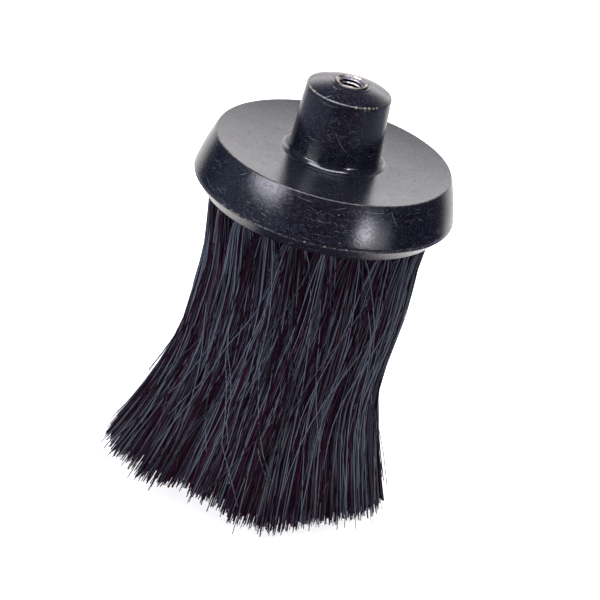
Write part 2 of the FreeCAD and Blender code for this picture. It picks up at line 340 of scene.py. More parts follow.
def scratches(tree, arc, height, cell, width, length, slope, share, offset):
    """Mask of thin, slightly curved scratches, one to a random cell of the unrolled surface.

    cell, width and length are in millimetres; slope is the widest angle from the level, in radians, and
    share the part of the cells that carry a scratch. The offset keeps two layers of scratches apart.
    """
    curve = 0.03
    moved = maths(tree, "ADD", height, offset)
    spot = node(tree, "ShaderNodeCombineXYZ", {0: arc, 1: moved}).outputs[0]
    cells = node(tree, "ShaderNodeTexVoronoi", {"Vector": spot, "Scale": 1 / cell, "Randomness": 1.0},
                 voronoi_dimensions="2D")
    chance = channels(tree, cells.outputs["Color"])
    ends = {0: spot, 1: cells.outputs["Position"]}
    gap = split(tree, node(tree, "ShaderNodeVectorMath", ends, operation="SUBTRACT").outputs[0])
    angle = maths(tree, "MULTIPLY_ADD", chance[0], 2 * slope, -slope)
    cos, sin = maths(tree, "COSINE", angle), maths(tree, "SINE", angle)
    x_sin, y_cos = maths(tree, "MULTIPLY", gap[0], sin), maths(tree, "MULTIPLY", gap[1], cos)
    x_cos, y_sin = maths(tree, "MULTIPLY", gap[0], cos), maths(tree, "MULTIPLY", gap[1], sin)
    across = maths(tree, "SUBTRACT", x_sin, y_cos)
    along = maths(tree, "ADD", x_cos, y_sin)
    curved = maths(tree, "ADD", across, maths(tree, "MULTIPLY", maths(tree, "MULTIPLY", along, along), curve))
    thin = ramp(tree, maths(tree, "ABSOLUTE", curved), width, 0.0)
    ended = ramp(tree, maths(tree, "ABSOLUTE", along), length, length * 0.5)
    there = ramp(tree, chance[1], 1 - share, 1 - share + 0.3 * share)
    return maths(tree, "MULTIPLY", maths(tree, "MULTIPLY", thin, ended), there)


def near(tree, radius, height, centre_radius, centre_height, reach):
    """1 on a circle round the axis, fading to 0 at the reach from it."""
    across = maths(tree, "SUBTRACT", radius, centre_radius)
    along = maths(tree, "SUBTRACT", height, centre_height)
    squares = maths(tree, "MULTIPLY_ADD", across, across, maths(tree, "MULTIPLY", along, along))
    return ramp(tree, maths(tree, "SQRT", squares), reach, 0.0)


def handling_marks(tree, place, parts, radius):
    """Long scratches everywhere, and short and fine ones in the patches that were handled most."""
    around = maths(tree, "ARCTAN2", parts[0], maths(tree, "MULTIPLY", parts[1], -1.0))
    arc = maths(tree, "MULTIPLY", around, radius)
    height = parts[2]
    long_marks = scratches(
        tree, arc, height, cell=11.0, width=0.09, length=4.5, slope=1.1, share=0.45, offset=0.0)
    short_marks = scratches(
        tree, arc, height, cell=2.8, width=0.09, length=1.5, slope=0.45, share=0.55, offset=40.0)
    fine_marks = scratches(
        tree, arc, height, cell=1.9, width=0.07, length=1.2, slope=0.5, share=0.35, offset=80.0)
    handled = ramp(tree, noise(tree, place, 0.11, 1.0), 0.44, 0.60)
    short_marks = maths(tree, "MULTIPLY", maths(tree, "MAXIMUM", short_marks, fine_marks), handled)
    return maths(tree, "MAXIMUM", long_marks, short_marks)


def worn_edges_and_highlights(tree, place, parts, radius, mottle):
    """Masks of the rubbed edges, which also carry painted highlight lines (rim at the joint, edge of the dome,
    edge of the top), and of the chips.
    """
    height = parts[2]
    line_noise = noise(tree, place, 0.9, 3.0, 0.65)
    at_rim = near(tree, radius, height, RIM, SEAM + 0.15, 0.45)
    rim = maths(tree, "MULTIPLY", at_rim, ramp(tree, line_noise, 0.36, 0.80, 0.0, 0.6))
    at_dome = near(tree, radius, height, BOSS_EDGE - 0.12, BOSS_HEIGHT - 0.05, 0.36)
    # painted highlight: the line on the dome's edge grows towards -X, the side the lights come from
    lit_leftward = ramp(tree, parts[0], 11.0, -7.0, 0.15, 1.0)
    dome = maths(tree, "MULTIPLY", maths(tree, "MULTIPLY", at_dome, ramp(tree, line_noise, 0.33, 0.52)), lit_leftward)
    at_edge = near(tree, radius, height, TOP_EDGE - 0.1, EDGE_HEIGHT - 0.1, 0.32)
    edge = maths(tree, "MULTIPLY", at_edge, ramp(tree, line_noise, 0.40, 0.75, 0.10, 0.6))
    # edge wear and painted highlight lines together, in one mask
    rubbed_and_highlit = maths(tree, "MAXIMUM", rim, maths(tree, "MAXIMUM", dome, edge))

    wear = node(tree, "ShaderNodeAttribute", attribute_name="wear").outputs["Fac"]
    ragged = maths(tree, "MULTIPLY", maths(tree, "SUBTRACT", mottle, 0.5), 0.7)
    return rubbed_and_highlit, ramp(tree, maths(tree, "ADD", wear, ragged), 0.34, 0.50)


def specks(tree, place):
    """Mask and colour of flecks, which are dirt or filler showing through, and mask of dust."""
    cells = node(tree, "ShaderNodeTexVoronoi", {"Vector": place, "Scale": 0.5, "Randomness": 1.0})
    chance = channels(tree, cells.outputs["Color"])
    size = ramp(tree, chance[2], 0.0, 1.0, 0.04, 0.13)
    dot = ramp(tree, maths(tree, "SUBTRACT", cells.outputs["Distance"], size), 0.0, -0.03)
    fleck = maths(tree, "MULTIPLY", dot, ramp(tree, chance[0], 0.62, 0.64))
    colour = blend(tree, ramp(tree, chance[1], 0.6, 0.7), (0.20, 0.18, 0.17), (0.34, 0.14, 0.06))

    cells = node(tree, "ShaderNodeTexVoronoi", {"Vector": place, "Scale": 1.7, "Randomness": 1.0})
    gate = ramp(tree, channels(tree, cells.outputs["Color"])[0], 0.74, 0.8)
    dust = maths(tree, "MULTIPLY", ramp(tree, cells.outputs["Distance"], 0.26, 0.12), gate)
    return fleck, colour, dust


def moulded_black(name, worn, gloss, film):
    """Black moulded plastic, handled for years: haze, dust, scratches, flecks and chipped edges, with
    highlight lines painted along its rubbed edges.

    worn is the strength of the rubbed edges and their painted highlight lines, gloss the specular level and
    film the strength of a grey film.
    """
    material, tree, shader = new_material(name)
    place = millimetres(tree)
    parts = split(tree, place)
    radius, height = from_axis(tree, place), parts[2]

    # fields: clouds to grain are noise from coarse to fine; side is 1 on the wall and boss and 0 on the top
    clouds = noise(tree, place, 0.16, 3.0, 0.55)
    patch = noise(tree, place, 0.75, 4.0, 0.65)
    mottle = noise(tree, place, 1.1, 3.0, 0.6)
    grain = noise(tree, place, 2.1, 3.0, 0.75)
    grit = ramp(tree, noise(tree, place, 2.2, 2.0, 0.8), 0.52, 0.72)
    below_top = ramp(tree, height, TOP - 0.9, TOP - 1.5)
    side = maths(tree, "MAXIMUM", below_top, ramp(tree, height, TOP + 1.2, TOP + 2.4))
    foot = near(tree, radius, height, BOSS_BASE + 0.9, FOOT_HEIGHT + 0.9, 3.0)
    marks = maths(tree, "MULTIPLY", handling_marks(tree, place, parts, radius), side)
    rubbed_and_highlit, chipped = worn_edges_and_highlights(tree, place, parts, radius, mottle)
    fleck, fleck_colour, dust = specks(tree, place)

    # colour, from the plastic outwards: patches, film, grit, dust, scratches, flecks, and worn edges that
    # carry painted highlight lines
    base = blend(tree, ramp(tree, clouds, 0.3, 0.7), (0.0046, 0.0026, 0.0058), (0.0030, 0.0046, 0.0094))
    base = blend(tree, ramp(tree, patch, 0.44, 0.66), base, (0.0085, 0.0130, 0.0240))
    base = blend(tree, maths(tree, "MULTIPLY", mottle, film), base, (0.065, 0.060, 0.075))
    gritty = maths(tree, "MULTIPLY", grit, maths(tree, "MULTIPLY_ADD", side, 0.14, 0.06))
    base = blend(tree, gritty, base, (0.20, 0.20, 0.23))
    frontward = maths(tree, "MULTIPLY", ramp(tree, parts[1], 34.0, -36.0), mottle)
    settled = maths(tree, "MULTIPLY", frontward, maths(tree, "MULTIPLY_ADD", side, -0.12, 0.12))
    base = blend(tree, settled, base, (0.085, 0.078, 0.080))
    base = blend(tree, maths(tree, "MULTIPLY", marks, 0.55), base, (0.28, 0.28, 0.30))
    base = blend(tree, maths(tree, "MULTIPLY", dust, 0.42), base, (0.17, 0.17, 0.19))
    base = blend(tree, maths(tree, "MULTIPLY", fleck, 0.8), base, fleck_colour)
    # painted highlight: this light grey is partly real wear and partly the thin highlight lines along the rim,
    # the dome's edge and the top's edge
    base = blend(tree, maths(tree, "MULTIPLY", rubbed_and_highlit, worn), base, (0.36, 0.33, 0.31))
    base = blend(tree, chipped, base, (0.38, 0.31, 0.24))
    tree.links.new(base, shader.inputs["Base Color"])

    # roughness: clouded and smeared, less so on the fillet at the foot of the boss
    streaks = {"Vector": place, "Rotation": (0.2, 0.5, 0.1), "Scale": (1.2, 1.2, 0.17)}
    smear = noise(tree, node(tree, "ShaderNodeMapping", streaks).outputs[0], 1.0, 3.0, 0.6)
    haze = maths(tree, "MULTIPLY_ADD", clouds, 0.10, -0.04)
    haze = maths(tree, "MULTIPLY_ADD", mottle, 0.16, haze)
    haze = maths(tree, "MULTIPLY_ADD", smear, 0.18, haze)
    haze = maths(tree, "MULTIPLY", haze, maths(tree, "MULTIPLY_ADD", side, -0.10, 1.10))
    haze = maths(tree, "MULTIPLY", haze, maths(tree, "MULTIPLY_ADD", foot, -0.40, 1.0))
    haze = maths(tree, "MULTIPLY_ADD", grit, 0.10, haze)
    haze = maths(tree, "MULTIPLY_ADD", marks, 0.16, haze)
    haze = maths(tree, "MULTIPLY_ADD", dust, 0.2, haze)
    haze = maths(tree, "MULTIPLY_ADD", maths(tree, "MAXIMUM", chipped, fleck), 0.4, haze, clamp=True)
    tree.links.new(haze, shader.inputs["Roughness"])

    # relief, from coarse to fine, then the scratches and chips; the fillet is smooth
    calm = maths(tree, "MULTIPLY_ADD", foot, -0.95, 1.0)
    relief = bump(tree, clouds, 0.030 * MM)
    relief = bump(tree, mottle, 0.008 * MM, calm, relief)
    relief = bump(tree, grain, 0.032 * MM, calm, relief)
    cut = maths(tree, "MAXIMUM", marks, maths(tree, "MULTIPLY", chipped, 2.0))
    relief = bump(tree, cut, 0.012 * MM, normal=relief, invert=True)
    tree.links.new(relief, shader.inputs["Normal"])
    shader.inputs["IOR"].default_value = 1.5
    shader.inputs["Specular IOR Level"].default_value = gloss
    return material


def bush_steel(name):
    """Old plated steel: grey metal with brown edges and dull spots, with painted shade on the lip's outer
    flank and in the thread roots.
    """
    material, tree, shader = new_material(name)
    place = millimetres(tree)
    height = split(tree, place)[2]
    radius = from_axis(tree, place)
    spots = noise(tree, place, 1.4, 4.0, 0.6)
    lip = maths(tree, "MULTIPLY", ramp(tree, radius, 4.58, 4.68), ramp(tree, radius, 4.96, 4.88))
    colour = blend(tree, ramp(tree, spots, 0.40, 0.58), (0.52, 0.52, 0.54), (0.13, 0.11, 0.10))
    rusty = maths(tree, "MULTIPLY", lip, ramp(tree, spots, 0.25, 0.5))
    colour = blend(tree, rusty, colour, (0.34, 0.28, 0.21))
    # painted shade: the lip's steep outer flank, against the dome, is near black
    flank_shade = ramp(tree, radius, 4.90, 4.97)
    colour = blend(tree, maths(tree, "MULTIPLY", flank_shade, 0.9), colour, (0.04, 0.035, 0.035))
    # painted shade: the thread's roots in the bore go near black
    valley = ramp(tree, radius, 3.65, 3.9)
    root_shade = maths(tree, "MULTIPLY", valley, ramp(tree, height, 0.15, THREAD_TOP))
    colour = blend(tree, root_shade, colour, (0.016, 0.014, 0.015))
    tree.links.new(colour, shader.inputs["Base Color"])
    tree.links.new(ramp(tree, spots, 0.3, 0.7, 0.34, 0.55), shader.inputs["Roughness"])
    tree.links.new(bump(tree, noise(tree, place, 3.0, 3.0), 0.010 * MM), shader.inputs["Normal"])
    shader.inputs["Metallic"].default_value = 1.0
    return material


def fibre(name, colour, roughness, gloss):
    """One shade of bristle; its variety comes from the mix of shades and the fibres' own shapes."""
    material, _, shader = new_material(name)
    shader.inputs["Base Color"].default_value = (*colour, 1)
    shader.inputs["Roughness"].default_value = roughness
    shader.inputs["IOR"].default_value = 1.5
    shader.inputs["Specular IOR Level"].default_value = gloss
    return material


COVER_BLACK = moulded_black("cover_black", worn=0.85, gloss=0.30, film=0.0)
BOARD_BLACK = moulded_black("board_black", worn=0.6, gloss=0.48, film=0.35)
STEEL = bush_steel("insert_steel")

# shade, its share of the fibres on the outside of the bundle, of those deeper in, and of the strays
SHADES = [
    (fibre("bristle_black", (0.0150, 0.0034, 0.0108), 0.50, 0.05), 0.42, 0.24, 0.04),
    # painted shade: the shaded gaps of the near-black bristle look purple, so this maroon shade goes mostly to
    # fibres deep in the bundle
    (fibre("bristle_maroon_painted_shade", (0.0440, 0.0088, 0.0300), 0.60, 0.05), 0.09, 0.64, 0.03),
    # painted highlight: the bristles are near black, and the two slate shades stand for the bluish lit line
    # along each fibre; the strays are mostly pale so that they show as bright lines
    (fibre("bristle_slate_painted_highlight", (0.0370, 0.0460, 0.0600), 0.38, 0.24), 0.25, 0.08, 0.34),
    (fibre("bristle_pale_slate_painted_highlight", (0.1300, 0.1580, 0.1840), 0.40, 0.26), 0.225, 0.03, 0.54),
    (fibre("bristle_brown", (0.0650, 0.0320, 0.0270), 0.42, 0.25), 0.015, 0.009, 0.045),
    (fibre("bristle_tan", (0.1500, 0.0850, 0.0550), 0.45, 0.25), 0.000, 0.001, 0.005),
]


# ---------------------------------------------------------------- block and insert

def cover_outline():
    """Half-section of the back cover, from its recess round the outside and down the blind bore."""
    ceiling = SEAM + RECESS_DEPTH
    recess = np.array([[0, ceiling], [RECESS_RADIUS / 3, ceiling], [RECESS_RADIUS * 2 / 3, ceiling],
                       [RECESS_RADIUS, ceiling], [RECESS_RADIUS, SEAM + RECESS_DEPTH / 2],
                       [RECESS_RADIUS, SEAM]])
    joint = line((RECESS_RADIUS, SEAM), (RIM, SEAM), 1.0)
    land = line((RIM, SEAM), (RIM, SEAM + LAND), 0.10)
    wall = crowned((RIM, SEAM + LAND), (TOP_EDGE, EDGE_HEIGHT), WALL_CURVE, 0.42)
    top = line((TOP_EDGE, EDGE_HEIGHT), (BOSS_BASE, FOOT_HEIGHT), 0.6)
    inward = (top[:, 0] - BOSS_BASE) / (TOP_EDGE - BOSS_BASE)
    top[:, 1] = FOOT_HEIGHT + (EDGE_HEIGHT - FOOT_HEIGHT) * inward ** DISH
    boss = line((BOSS_BASE, FOOT_HEIGHT), (BOSS_EDGE, BOSS_HEIGHT), 0.65)
    dome = crowned((BOSS_EDGE, BOSS_HEIGHT), (SEAT, 0.0), DOME_CURVE, 0.22)
    bore = np.array([[SEAT, 0.0], [BARREL, 0.0], [BARREL, -8.0], [BARREL, BORE_END], [0, BORE_END]])
    outside = rounded(wall, top, EDGE_FILLET, 5)
    outside = rounded(outside, boss, FOOT_FILLET, 12)
    outside = rounded(outside, dome, DOME_FILLET, 6)
    return chained(recess, joint, land, outside, bore)


# clusters of chips: angle round the axis and width, in radians, and strength
RIM_CLUSTERS = ((4.07, 0.13, 2.2), (4.33, 0.12, 1.6), (4.66, 0.04, 2.6), (5.2, 0.06, 1.2))
DOME_CLUSTERS = ((3.72, 0.22, 1.4),)


def hump(x, middle, width):
    """Soft bump of height 1."""
    return np.exp(-((x - middle) / width) ** 2)


def clustered(chips, angle, clusters):
    """Raise a random field of chips where the clusters are."""
    for place, width, more in clusters:
        chips = chips + more * hump(angle, place, width)
    return chips


def wear_cover(radius, angle, height):
    """Small unevenness, the flash line at the joint and chips along the rim and the dome's edge."""
    rng = np.random.default_rng(11)
    in_recess = (radius < RECESS_RADIUS + 0.5) & (height < TOP - 1.0)
    outside = (radius > BOSS_EDGE - 8.5) & (height > SEAM - 0.01) & ~in_recess
    worn = np.where(outside, ripple_2d(rng, angle, height, 2, 9, 25.0, 8) * 0.035, 0.0)
    flash = hump(height, SEAM + 0.22, 0.16) * (radius > RIM - 0.6)
    worn = worn + flash * (0.13 + 0.03 * ripple(rng, angle, 20, 90, 8))

    # chips: short runs of lost edge, mostly on one side of the rim
    uneven = ripple(rng, angle, 3, 9, 5)
    chips = clustered(ripple(rng, angle, 40, 170, 20) + 0.55 * uneven - 0.3, angle, RIM_CLUSTERS)
    lost = smooth((chips - 1.6) / 0.9)
    at_rim = hump(height, SEAM + 0.1, 0.48) * (radius > RIM - 0.8)
    worn = worn - 0.42 * lost * at_rim
    wear = lost * at_rim

    # a low bead of plastic round the insert, and smaller chips on the dome's edge
    height = height + 0.16 * hump(radius, SEAT + 0.55, 0.25) * (height > -1.0)
    edge = ripple(rng, angle, 14, 60, 12) + 0.5 * ripple(rng, angle, 1, 4, 4)
    lost_edge = smooth((clustered(edge, angle, DOME_CLUSTERS) - 1.5) / 0.8)
    at_edge = np.exp(-((height - BOSS_HEIGHT) ** 2 + (radius - BOSS_EDGE) ** 2) / 0.22)
    worn = worn - 0.16 * lost_edge * at_edge
    wear = np.maximum(wear, 0.85 * lost_edge * at_edge)
    return radius + worn, height, wear


def insert_outline():
    """Closed half-section of the bush: threaded bore, countersunk mouth, rounded lip and barrel."""
    bottom = INSERT_LOW[2]
    top = INSERT_HIGH[2]
    bore = line((MINOR, bottom), (MINOR, THREAD_TOP), THREAD_STEP)
    mouth = line((MINOR, THREAD_TOP), (MOUTH, 0.2), 0.08)
    wall = line((MOUTH, 0.2), (4.60, top - 0.10), 0.12)
    crest = line((4.60, top - 0.10), (4.72, top), 0.06)
    lip = np.array([[4.72, top], [4.82, top - 0.02], [4.92, top - 0.10], [5.02, top - 0.24],
                    [5.12, top - 0.46], [SEAT, 0.0]])
    barrel = np.array([[SEAT, 0.0], [BARREL, 0.0], [BARREL, -6.0], [BARREL, bottom], [MINOR, bottom]])
    return chained(bore, mouth, wall, crest, lip, barrel)[:-1]


def cut_thread(radius, angle, height):
    """M8 x 1.25 right-hand thread in the bore, fading out in the mouth."""
    phase = np.mod(height / PITCH - angle / TURN, 1.0)
    tooth = np.abs(phase * 2 - 1)
    inner = (radius < MOUTH + 0.01) & (height < 0.21)
    groove = MINOR + np.clip(tooth * 1.2 - 0.1, 0, 1) * THREAD_DEPTH
    grown = np.where(inner, np.maximum(radius, groove), radius)
    return grown, height, np.zeros_like(radius)


COVER_SEGMENTS, BUSH_SEGMENTS = 608, 96

cover = turned("cover", cover_outline(), COVER_SEGMENTS, [COVER_BLACK], wear_cover)
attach(cover, "root")
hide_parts("back_cover")

bush = turned("bush", insert_outline(), BUSH_SEGMENTS, [STEEL], cut_thread, closed=True)
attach(bush, "root")
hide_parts("threaded_insert")

for cad_name, material in (("bristle_board", BOARD_BLACK), ("tuft_anchors", STEEL)):
    mesh = NODES[cad_name].data
    mesh.materials.clear()
    mesh.materials.append(material)


# ---------------------------------------------------------------- bristles

SIDES = 5                              # of a fibre's section
STATIONS = np.concatenate([[-0.0157, 0.012], np.linspace(0.06, 1.0, 11)])  # fractions of the free length
PER_TUFT = 140                         # fibres in a tuft
PER_OUTER_TUFT = 195
PER_GROUP = 7                          # fibres that clump together at their tips
OUTER_RING = 28.0                      # tufts further out than this are on the outside of the bundle
STRAY_SHARE = 0.06
SHORT_SHARE = 0.05
GOLDEN = 0.618034                      # golden ratio, for an even mix, and golden angle, for an even layout
GOLDEN_ANGLE = 2.399963
FIRST_SEED = 100


def hole_centre(name):
    """Centre of a tuft's hole, from the top of the CAD tuft's root."""
    mesh = NODES[name].data
    points = np.zeros(len(mesh.vertices) * 3, np.float32)
    mesh.vertices.foreach_get("co", points)
    points = points.reshape(-1, 3) / MM
    root = points[points[:, 2] > points[:, 2].max() - 0.4]
    return (root[:, :2].min(0) + root[:, :2].max(0)) / 2


def flare(t):
    """How far along the flare a fibre is, at a fraction of the free length."""
    return np.clip((t * FREE - FLARE_START) / (FREE - FLARE_START), 0, None)


def spread(t):
    """Spread of the bundle against the holes in the board."""
    free = WAIST + (FLARE - WAIST) * flare(t) ** FLARE_POWER
    return 1 + (free - 1) * smooth(t / 0.12)


def tip_height(x, y, rng, group):
    """Heights of the trimmed, worn ends: shorter to the front and outside, ragged by group and by fibre."""
    tip_radius = 45.0
    reach = np.hypot(x, y) / tip_radius
    front = np.clip(-y / tip_radius, 0, None)
    trim = 2.0 * hump(x, -20.0, 9.0) - 3.4 * hump(x, 4.0, 13.0) + 2.6 * smooth((x - 16.0) / 16.0)
    height = TIPS + 0.3 + 2.4 * reach ** 2 + 6.4 * front ** 1.5 + trim * np.clip(1.5 * front, 0, 1)
    height = height + group + rng.normal(0.2, 1.0, len(x))
    short = rng.random(len(x)) < SHORT_SHARE
    height = height + np.where(short, rng.uniform(2.0, 9.0, len(x)), 0.0)
    return np.maximum(height, TIPS + 0.05)


def coherent(angle, t):
    """Sideways sway that neighbouring fibres share, from the same waves for every tuft."""
    rng = np.random.default_rng(5)
    return (1.6 * ripple(rng, angle, 2, 7, 6) + 1.0 * ripple(rng, angle, 9, 22, 8)) * t ** 1.3


def swept(name, centre, thick, out, corners, shade):
    """One mesh of all the fibres round their centre lines, thinner towards their cut tips.

    thick is each fibre's radius, corners are the angles of its section's corners and shade is its material.
    """
    tangent = np.gradient(centre, axis=1)
    tangent /= np.linalg.norm(tangent, axis=2, keepdims=True)
    aside = np.cross(tangent, np.array([out[0], out[1], 0.0]))
    aside /= np.linalg.norm(aside, axis=2, keepdims=True)
    front = np.cross(aside, tangent)
    taper = 1 - 0.18 * STATIONS.clip(0, 1) ** 2
    thick = (thick[:, None] * taper[None, :])[..., None, None]
    cos, sin = np.cos(corners)[:, None, :, None], np.sin(corners)[:, None, :, None]
    points = centre[:, :, None] + thick * (cos * aside[:, :, None] + sin * front[:, :, None])

    count, steps = len(centre), len(STATIONS)
    index = np.arange(count * steps * SIDES).reshape(count, steps, SIDES)
    across = np.roll(index, -1, axis=2)
    quads = np.stack([index[:, :-1], across[:, :-1], across[:, 1:], index[:, 1:]], axis=3).reshape(-1, 4)
    caps = np.concatenate([index[:, 0, ::-1], index[:, -1]])
    indices = np.concatenate([np.repeat(shade, (steps - 1) * SIDES), shade, shade]).astype(np.int32)
    materials = [row[0] for row in SHADES]
    return mesh_object(name, points.reshape(-1, 3), quads.tolist() + caps.tolist(), materials, indices)


def tuft(name, seed):
    """All the fibres of one tuft as one mesh."""
    rng = np.random.default_rng(seed)
    root = hole_centre(name)
    ring = float(np.hypot(*root))
    out = root / ring if ring > 1 else np.array([1.0, 0.0])
    side = np.array([-out[1], out[0]])
    outer = ring > OUTER_RING
    n = PER_OUTER_TUFT if outer else PER_TUFT

    # places in the tuft, on a disc of radius 1, and the groups that clump together
    k = np.arange(n) + 0.5
    turn = k * GOLDEN_ANGLE + rng.uniform(0, TURN)
    disc = np.sqrt(k / n)[:, None] * np.stack([np.cos(turn), np.sin(turn)], axis=1)
    disc = disc + rng.normal(0, 0.035, (n, 2))

    groups = max(1, n // PER_GROUP)
    group_of = rng.integers(0, groups, n)
    group_place = disc[rng.choice(n, groups, replace=False)]
    group_tip = rng.normal(0, 1.1, groups)[group_of]
    group_fan = rng.normal(0, 1.0, (groups, 2))[group_of]
    pull = np.where(rng.random(n) < (0.5 if outer else 0.75), rng.uniform(0.20, 0.60, n), 0.0)

    # how each fibre fans out, bends and waves; order counts a tuft's fibres from one side to the other
    order = np.argsort(np.argsort(disc @ side))
    ordered = (order + 0.5) / n * 2 - 1
    left_front = math.exp(-((math.atan2(out[1], out[0]) + math.pi - 0.30) / 0.45) ** 2) if outer else 0.0
    fan = rng.normal(0, 1.0, (n, 2)) * (0.90, 0.45) + group_fan * 0.35
    fan[:, 1] += 1.35 * ordered
    fan_side, fan_out = (9.0, 2.0) if outer else (7.0, 3.2)
    bend_way = rng.uniform(0, TURN, n)
    bend = np.stack([np.cos(bend_way), np.sin(bend_way)], axis=1)
    bend_size = rng.normal(0, 0.9, n)
    wave_size = rng.normal(0, 0.28, n)
    wave_phase = rng.uniform(0, TURN, n)
    power = rng.uniform(0.6, 1.35, n)

    # strays cross their neighbours, and loose fibres stand off the flare
    stray = (rng.random(n) < STRAY_SHARE) & outer
    stray_side = np.where(stray, rng.choice((-1, 1), n) * rng.uniform(12, 52, n), 0.0)
    stray_power = rng.uniform(0.9, 4.2, n)
    proud = np.where(stray, rng.uniform(0.3, 0.8, n), rng.uniform(-0.2, 0.35, n))
    loose = np.where(rng.random(n) < 0.08 + 0.06 * left_front, rng.uniform(1.0, 3.0, n), 0.0)

    def path(t):
        """Places of the fibres at fractions t of the free length, one row per fibre."""
        down = np.clip(t, 0, None)
        opened = smooth(t / 0.08)
        width = HOLE + (TUFT_RADIUS * spread(t) - HOLE) * opened
        gather = (pull[:, None] * smooth((t - 0.3) / 0.7))[..., None]
        local = (disc[:, None] * (1 - gather) + group_place[group_of][:, None] * gather) * width[..., None]
        grown = down ** power[:, None]
        local = local + out * (fan[:, 0, None] * fan_out * grown)[..., None]
        local = local + side * (fan[:, 1, None] * fan_side * grown)[..., None]
        wave = opened * np.sin(TURN * 1.3 * down + wave_phase[:, None])
        arc = bend_size[:, None] * np.sin(math.pi * down) + wave_size[:, None] * wave
        local = local + bend[:, None] * arc[..., None]
        local = local + side * (stray_side[:, None] * down ** stray_power[:, None])[..., None]
        place = root * spread(t)[..., None] + local
        angle = np.arctan2(place[..., 1], place[..., 0])
        reach = np.linalg.norm(place, axis=2)
        around = coherent(angle, down) * smooth(reach / 30.0)
        place = place + np.stack([-np.sin(angle), np.cos(angle)], axis=2) * around[..., None]

        # fibres that reach the outside of the bundle lie along it
        reach = np.linalg.norm(place, axis=2)
        limit = BUNDLE_RADIUS * spread(t) + proud[:, None] * opened + loose[:, None] * down ** 4
        limit = limit + 1.4 * hump(t, 0.08, 0.08)
        slack = 1.3 + 1.2 * down ** 2
        over = np.clip(reach - (limit - slack), 0, None)
        held = np.where(over > 0, limit - slack + slack * (1 - np.exp(-over / slack)), reach)
        place = place * (held / np.maximum(reach, 1e-6))[..., None]
        right = smooth(place[..., 0] / 25.0)
        place[..., 0] += 0.9 * hump(t, 0.27, 0.13) - 1.5 * right * hump(t, 0.60, 0.18) - LEAN * flare(t)
        return place

    # the tips' places give the fibres' lengths, and those the places of the stations along them
    tip = path(np.ones((n, 1)))[:, 0]
    ends = tip_height(tip[:, 0], tip[:, 1], rng, group_tip)
    ends = np.where(stray, ends + rng.uniform(0, 38, n), ends)
    t = STATIONS[None, :] * ((UNDERSIDE - ends) / FREE)[:, None]
    flat = path(t)
    centre = np.concatenate([flat, (UNDERSIDE - t * FREE)[..., None]], axis=2)

    # shades: drawn one by one inside the bundle, and dealt out evenly from side to side on its outside, which
    # spaces the painted highlight lines of the slate shades evenly
    outside = outer & ((disc @ out > -0.15) | stray)
    shade_in, shade_stray = (rng.choice(len(SHADES), n, p=[row[k] for row in SHADES]) for k in (2, 3))
    even = np.mod(np.cumsum(outside[np.argsort(order)])[order] * GOLDEN + rng.random(), 1.0)
    shade_out = np.searchsorted(np.cumsum([row[1] for row in SHADES]), even).clip(0, len(SHADES) - 1)
    shade = np.where(stray, shade_stray, np.where(outside, shade_out, shade_in))
    dark = shade < 2
    thick = np.where(dark, rng.uniform(0.15, 0.22, n), rng.uniform(0.13, 0.17, n))
    corners = rng.uniform(0, TURN, n)[:, None] + np.arange(SIDES) * (TURN / SIDES)

    piece = swept(name + "_bristles", centre, thick, out, corners, shade)
    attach(piece, "root")
    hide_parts(name)


tuft_names = sorted(name for name in NODES if name.startswith("tuft_") and name != "tuft_anchors")
for number, tuft_name in enumerate(tuft_names):
    tuft(tuft_name, FIRST_SEED + number)


# ---------------------------------------------------------------- stage, light and camera

FLOOR_SIZE = 6000.0                    # half the floor's side, and the backdrop's radius inside it
BACKDROP_RADIUS = 5600.0
BACKDROP_ROWS, BACKDROP_SEGMENTS = 12, 64


def floor():
    """Pale studio floor under the tips; gloss mirrors the surroundings instead, which are dark in front."""
    material, tree, shader = new_material("floor_pale")
    place = tree.nodes.new("ShaderNodeTexCoord").outputs["Object"]
    shade = noise(tree, place, 3.0, 2.0)
    tree.links.new(blend(tree, shade, (0.90, 0.90, 0.90), (0.93, 0.93, 0.93)), shader.inputs["Base Color"])
    shader.inputs["Roughness"].default_value = 0.9
    shader.inputs["Emission Color"].default_value = (1, 1, 1, 1)
    shader.inputs["Emission Strength"].default_value = 0.82
    corners = [(x * FLOOR_SIZE, y * FLOOR_SIZE, TIPS) for x, y in ((-1, -1), (1, -1), (1, 1), (-1, 1))]
    ground = mesh_object("floor", corners, [(0, 1, 2, 3)], [material])
    ground.visible_glossy = ground.visible_diffuse = False


def backdrop():
    """Pale studio wall that only the camera sees, so that it adds no light of its own."""
    material, tree, shader = new_material("wall_pale")
    height = split(tree, tree.nodes.new("ShaderNodeTexCoord").outputs["Object"])[2]
    tone = blend(tree, ramp(tree, height, 0.0, 3.0), (1.0, 1.0, 1.0), (0.93, 0.94, 0.95))
    tree.links.new(tone, shader.inputs["Emission Color"])
    shader.inputs["Emission Strength"].default_value = 1.0
    shader.inputs["Base Color"].default_value = (0, 0, 0, 1)
    shader.inputs["Specular IOR Level"].default_value = 0.0
    rise = np.radians(np.linspace(0, 90, BACKDROP_ROWS + 1))
    outline = np.stack([BACKDROP_RADIUS * np.cos(rise), TIPS + BACKDROP_RADIUS * np.sin(rise)], axis=1)
    count = BACKDROP_SEGMENTS
    angle = np.arange(count) * (TURN / count)
    points = [(r * math.cos(a), r * math.sin(a), z) for r, z in outline for a in angle]
    faces = []
    for low in range(0, BACKDROP_ROWS * count, count):
        high = low + count
        faces += [(low + i, high + i, high + (i + 1) % count, low + (i + 1) % count) for i in range(count)]
    wall = mesh_object("backdrop", points, faces, [material])
    for ray in ("diffuse", "glossy", "transmission", "shadow", "volume_scatter"):
        setattr(wall, "visible_" + ray, False)


